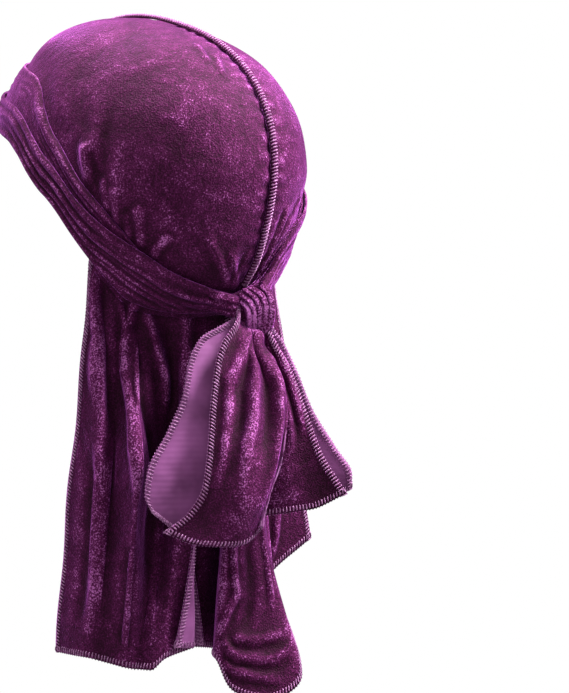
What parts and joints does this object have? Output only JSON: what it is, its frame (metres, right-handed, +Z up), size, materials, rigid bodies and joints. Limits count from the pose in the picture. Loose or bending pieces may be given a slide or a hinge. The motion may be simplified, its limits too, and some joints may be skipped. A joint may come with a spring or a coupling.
{
  "type": "velvet durag in its worn form, two-panel cap with straps wrapped and tied at the nape",
  "caption": "Plum velvet durag shaped as worn: seamed cap, pleated straps wound round the head, knot at the nape, two trumpet ends and a long split tail",
  "frame": {"origin": "inside of the crown, where it sits on the head", "axes": "x to the wearer's left, y to the back of the head, z up; the wearer faces -Y"},
  "size_m": [0.1624, 0.2218, 0.3996],
  "materials": {
    "velvet": "crushed stretch velvet with a short pile",
    "thread": "matt overlock thread over a raised seam"
  },
  "bodies": {
    "root": {"cap_left_panel": "velvet", "cap_right_panel": "velvet", "centre_seam": "thread", "strap_under_wrap": "velvet", "strap_over_wrap": "velvet", "knot": "velvet", "strap_end_left": "velvet", "strap_end_right": "velvet", "tail_left_panel": "velvet", "tail_right_panel": "velvet"}
  },
  "joints": []
}
